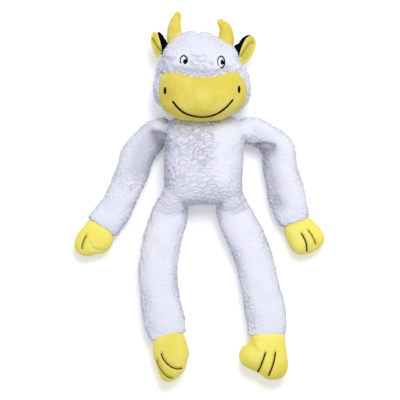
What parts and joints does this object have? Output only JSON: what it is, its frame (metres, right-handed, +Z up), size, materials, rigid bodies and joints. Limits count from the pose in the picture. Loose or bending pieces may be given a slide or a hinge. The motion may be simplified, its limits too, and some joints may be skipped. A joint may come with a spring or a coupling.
{
  "type": "stuffed toy cow",
  "caption": "Long-limbed stuffed toy cow: curly fleece body and limbs over fibre filling, with plush muzzle, horns, hands and feet and an embroidered face.",
  "frame": {"origin": "middle of the toy's length and width, on the surface it lies on", "axes": "+Z up from the back to the front of the toy, +Y towards the head, +X towards the toy's left side"},
  "size_m": [0.3379, 0.4996, 0.105],
  "materials": {
    "white_fleece": "short curly sherpa fleece in small nubs, matt",
    "yellow_plush": "short smooth pile with a soft sheen",
    "black_velour": "short black pile, matt",
    "black_thread": "satin stitch, slightly glossy",
    "white_thread": "satin stitch, slightly glossy",
    "fibre_filling": "loose polyester fibre"
  },
  "bodies": {
    "torso": {"torso_back_cover": "white_fleece", "torso_filling": "fibre_filling", "torso_front_cover": "white_fleece"},
    "head": {"head_cover": "white_fleece", "head_filling": "fibre_filling", "left_eye_outline": "black_thread", "left_eye_pupil": "black_thread", "left_eye_white": "white_thread", "left_horn": "yellow_plush", "left_nostril": "black_thread", "mouth_stitch": "black_thread", "muzzle_cover": "yellow_plush", "muzzle_filling": "fibre_filling", "right_eye_outline": "black_thread", "right_eye_pupil": "black_thread", "right_eye_white": "white_thread", "right_horn": "yellow_plush", "right_nostril": "black_thread"},
    "right_ear": {"right_ear_back": "black_velour", "right_ear_lining": "yellow_plush"},
    "right_upper_arm": {"right_upper_arm_cover": "white_fleece", "right_upper_arm_filling": "fibre_filling"},
    "right_forearm": {"right_forearm_cover": "white_fleece", "right_forearm_filling": "fibre_filling"},
    "right_hand": {"right_hand_cover": "yellow_plush", "right_hand_filling": "fibre_filling", "right_hand_stitch_1": "black_thread"},
    "right_thigh": {"right_thigh_cover": "white_fleece", "right_thigh_filling": "fibre_filling"},
    "right_shin": {"right_shin_cover": "white_fleece", "right_shin_filling": "fibre_filling"},
    "right_foot": {"right_foot_cover": "yellow_plush", "right_foot_filling": "fibre_filling", "right_foot_stitch_1": "black_thread", "right_foot_stitch_2": "black_thread"},
    "left_ear": {"left_ear_back": "black_velour", "left_ear_lining": "yellow_plush"},
    "left_upper_arm": {"left_upper_arm_cover": "white_fleece", "left_upper_arm_filling": "fibre_filling"},
    "left_forearm": {"left_forearm_cover": "white_fleece", "left_forearm_filling": "fibre_filling"},
    "left_hand": {"left_hand_cover": "yellow_plush", "left_hand_filling": "fibre_filling", "left_hand_stitch_1": "black_thread", "left_hand_stitch_2": "black_thread"},
    "left_thigh": {"left_thigh_cover": "white_fleece", "left_thigh_filling": "fibre_filling"},
    "left_shin": {"left_shin_cover": "white_fleece", "left_shin_filling": "fibre_filling"},
    "left_foot": {"left_foot_cover": "yellow_plush", "left_foot_filling": "fibre_filling", "left_foot_stitch_1": "black_thread", "left_foot_stitch_2": "black_thread"}
  },
  "joints": [
    {"name": "neck_nod", "type": "hinge", "parent": "torso", "child": "head", "pos_m": [0.00574, 0.11216, 0.03], "axis": [1, 0, 0], "range_deg": [0, 20]},
    {"name": "right_ear_flap", "type": "hinge", "parent": "head", "child": "right_ear", "pos_m": [-0.0429, 0.20405, 0.044], "axis": [0, 1, 0], "range_deg": [0, 60]},
    {"name": "right_shoulder_swing", "type": "hinge", "parent": "torso", "child": "right_upper_arm", "pos_m": [-0.05101, 0.08919, 0.022], "axis": [-1, 0, 0], "range_deg": [0, 150]},
    {"name": "right_elbow_bend", "type": "hinge", "parent": "right_upper_arm", "child": "right_forearm", "pos_m": [-0.08074, 0.05811, 0.0175], "axis": [0, 0, -1], "range_deg": [-5, 45]},
    {"name": "right_wrist_bend", "type": "hinge", "parent": "right_forearm", "child": "right_hand", "pos_m": [-0.13277, -0.03986, 0.0175], "axis": [0, 0, -1], "range_deg": [-15, 15]},
    {"name": "right_hip_lift", "type": "hinge", "parent": "torso", "child": "right_thigh", "pos_m": [-0.03277, -0.00946, 0.02], "axis": [-1, 0, 0], "range_deg": [0, 90]},
    {"name": "right_knee_bend", "type": "hinge", "parent": "right_thigh", "child": "right_shin", "pos_m": [-0.05601, -0.09865, 0.0195], "axis": [-1, 0, 0], "range_deg": [0, 60]},
    {"name": "right_ankle_bend", "type": "hinge", "parent": "right_shin", "child": "right_foot", "pos_m": [-0.04561, -0.18919, 0.0195], "axis": [-1, 0, 0], "range_deg": [0, 35]},
    {"name": "left_ear_flap", "type": "hinge", "parent": "head", "child": "left_ear", "pos_m": [0.04763, 0.19865, 0.044], "axis": [0, -1, 0], "range_deg": [0, 60]},
    {"name": "left_shoulder_swing", "type": "hinge", "parent": "torso", "child": "left_upper_arm", "pos_m": [0.06385, 0.08919, 0.022], "axis": [-1, 0, 0], "range_deg": [0, 150]},
    {"name": "left_elbow_bend", "type": "hinge", "parent": "left_upper_arm", "child": "left_forearm", "pos_m": [0.09966, 0.06892, 0.0175], "axis": [0, 0, 1], "range_deg": [-5, 45]},
    {"name": "left_wrist_bend", "type": "hinge", "parent": "left_forearm", "child": "left_hand", "pos_m": [0.12939, -0.03446, 0.0175], "axis": [0, 0, 1], "range_deg": [-15, 15]},
    {"name": "left_hip_lift", "type": "hinge", "parent": "torso", "child": "left_thigh", "pos_m": [0.04155, -0.00946, 0.02], "axis": [-1, 0, 0], "range_deg": [0, 90]},
    {"name": "left_knee_bend", "type": "hinge", "parent": "left_thigh", "child": "left_shin", "pos_m": [0.07737, -0.09865, 0.0195], "axis": [-1, 0, 0], "range_deg": [0, 60]},
    {"name": "left_ankle_bend", "type": "hinge", "parent": "left_shin", "child": "left_foot", "pos_m": [0.09128, -0.18851, 0.0195], "axis": [-1, 0, 0], "range_deg": [0, 35]}
  ]
}
